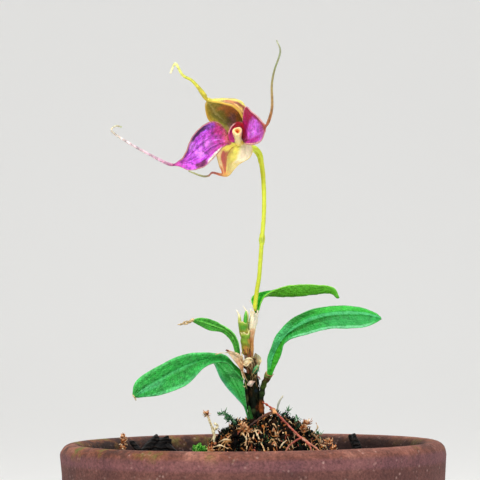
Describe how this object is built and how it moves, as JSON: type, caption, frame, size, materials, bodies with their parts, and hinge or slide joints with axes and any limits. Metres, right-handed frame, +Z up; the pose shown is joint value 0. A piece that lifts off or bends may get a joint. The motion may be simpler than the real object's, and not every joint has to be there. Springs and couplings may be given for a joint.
{
  "type": "potted brachionidium orchid",
  "caption": "Miniature orchid with one long-tailed purple and yellow flower on a thin stalk above leathery leaves, rooted in moss and bark in a round clay pot.",
  "frame": {"origin": "centre of the clay pot's base, on the floor that it stands on", "axes": "+Z up along the pot's axis, -Y towards the viewer of the picture's side with the open flower, +X to that viewer's right"},
  "size_m": [0.076, 0.076, 0.1485],
  "materials": {
    "clay": "matte, weathered",
    "dead_moss": "matte, fibrous",
    "bark": "matte, rough",
    "rhizome": "matte, ridged",
    "leaf": "satin, leathery",
    "dry_sheath": "matte, papery",
    "shoot": "satin",
    "stalk": "satin",
    "yellow_sepal": "satin, translucent",
    "cream_sepal": "satin, translucent",
    "magenta_petal": "satin, glistening",
    "crimson_lip": "satin",
    "cream_column": "satin",
    "red_root": "matte",
    "grey_root": "matte",
    "dry_moss_sprout": "matte, fibrous",
    "grey_moss": "matte, fibrous",
    "green_moss": "matte, fibrous"
  },
  "bodies": {
    "root": {"clay_pot": "clay", "moss_mound": "dead_moss", "bark_mix": "bark", "bark_chip_left_large": "bark", "bark_chip_left_thin": "bark", "bark_chip_left_leg": "bark", "bark_chip_right": "bark", "bark_chip_front": "bark", "bark_chip_back": "bark", "rhizome": "rhizome", "leaf_left_broad": "leaf", "leaf_left_low": "leaf", "leaf_left_upper": "leaf", "leaf_right_large": "leaf", "leaf_right_top": "leaf", "papery_sheath": "dry_sheath", "green_shoot": "shoot", "dry_sheath_left": "dry_sheath", "dry_sheath_front": "dry_sheath", "dry_sheath_ring": "dry_sheath", "dry_sheath_low": "dry_sheath", "dry_sheath_back": "dry_sheath", "green_bud": "shoot", "flower_stalk": "stalk", "ovary": "stalk", "upper_sepal": "yellow_sepal", "lower_sepal": "cream_sepal", "petal_left": "magenta_petal", "petal_right": "magenta_petal", "lip": "crimson_lip", "column": "cream_column", "aerial_root_red": "red_root", "aerial_root_grey": "grey_root", "moss_sprout_yellow": "dry_moss_sprout", "moss_sprig_grey": "grey_moss", "moss_tuft_green": "green_moss"}
  },
  "joints": []
}
